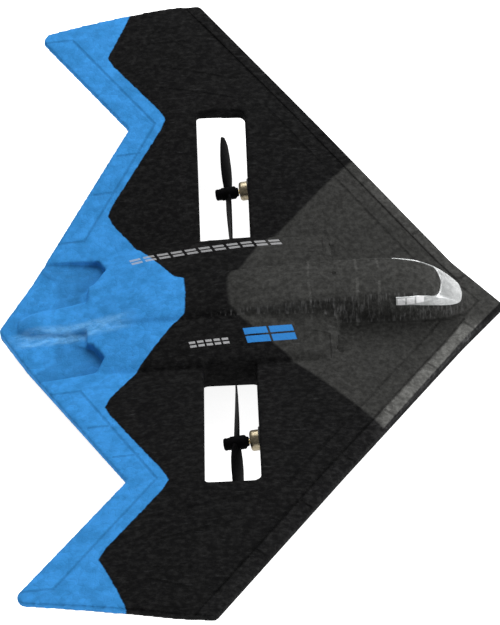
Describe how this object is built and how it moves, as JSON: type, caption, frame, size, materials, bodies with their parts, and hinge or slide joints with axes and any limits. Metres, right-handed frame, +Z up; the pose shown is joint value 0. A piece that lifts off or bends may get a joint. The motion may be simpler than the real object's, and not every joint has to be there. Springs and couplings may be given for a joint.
{
  "type": "rc flying wing",
  "caption": "Small foam flying wing with a W-shaped trailing edge and counter-rotating pusher propellers turning in openings through the wing.",
  "frame": {"origin": "on the plane of the flat belly the aircraft rests on, below the middle of its length and span", "axes": "+X to the nose, +Y to the port wing tip, +Z up"},
  "size_m": [0.2008, 0.3198, 0.0416],
  "materials": {
    "epp_foam": "moulded particle foam, printed in charcoal, bright blue and grey",
    "silver_film": "satin silver film",
    "black_plastic": "fine moulded texture",
    "white_plastic": "moulded",
    "prop_plastic": "polished flexible plastic",
    "steel": "bright drawn and turned steel",
    "can_metal": "warm plated deep drawn can",
    "brass": "turned and plated",
    "magnet": "sintered and nickel plated",
    "copper": "enamelled wire",
    "board": "green solder mask",
    "chip": "moulded epoxy",
    "cell": "foil pouch under clear film",
    "pad_foam": "closed cell foam",
    "red_wire": "silicone insulation",
    "black_wire": "silicone insulation",
    "blue_wire": "silicone insulation",
    "lens": "clear moulded"
  },
  "bodies": {
    "airframe": {"airframe": "epp_foam", "canopy_band": "silver_film", "belly_tray": "black_plastic", "belly_cover": "black_plastic", "cover_screws": "steel", "main_board": "board", "board_screws": "steel", "processor_chip": "chip", "radio_chip": "chip", "gyro_chip": "chip", "driver_chips": "chip", "antenna_wire": "black_wire", "switch_body": "black_plastic", "charge_socket": "white_plastic", "charge_pins": "brass", "status_led": "lens", "light_window": "lens", "battery_cell": "cell", "battery_pad_upper": "pad_foam", "battery_pad_lower": "pad_foam", "battery_lead_red": "red_wire", "battery_lead_black": "black_wire", "motor_sleeve_port": "black_plastic", "motor_can_port": "can_metal", "motor_bush_port": "brass", "motor_magnet_port": "magnet", "motor_cap_port": "white_plastic", "motor_brushes_port": "brass", "motor_terminals_port": "brass", "motor_wire_a_port": "red_wire", "motor_wire_b_port": "blue_wire", "motor_sleeve_starboard": "black_plastic", "motor_can_starboard": "can_metal", "motor_bush_starboard": "brass", "motor_magnet_starboard": "magnet", "motor_cap_starboard": "white_plastic", "motor_brushes_starboard": "brass", "motor_terminals_starboard": "brass", "motor_wire_a_starboard": "red_wire", "motor_wire_b_starboard": "blue_wire"},
    "rotor_port": {"motor_winding_port": "copper", "commutator_port": "brass", "motor_shaft_port": "steel", "propeller_port": "prop_plastic"},
    "rotor_starboard": {"motor_winding_starboard": "copper", "commutator_starboard": "brass", "motor_shaft_starboard": "steel", "propeller_starboard": "prop_plastic"},
    "switch_knob": {"switch_knob": "white_plastic"}
  },
  "joints": [
    {"name": "propeller_port_spin", "type": "hinge", "parent": "airframe", "child": "rotor_port", "pos_m": [-0.0065, 0.0666, 0.0167], "axis": [0.9877, 0, 0.1564], "continuous": true},
    {"name": "propeller_starboard_spin", "type": "hinge", "parent": "airframe", "child": "rotor_starboard", "pos_m": [-0.0065, -0.0666, 0.0167], "axis": [0.9877, 0, 0.1564], "continuous": true},
    {"name": "power_switch_slide", "type": "slide", "parent": "airframe", "child": "switch_knob", "axis": [1, 0, 0], "range_m": [0, 0.002]}
  ]
}
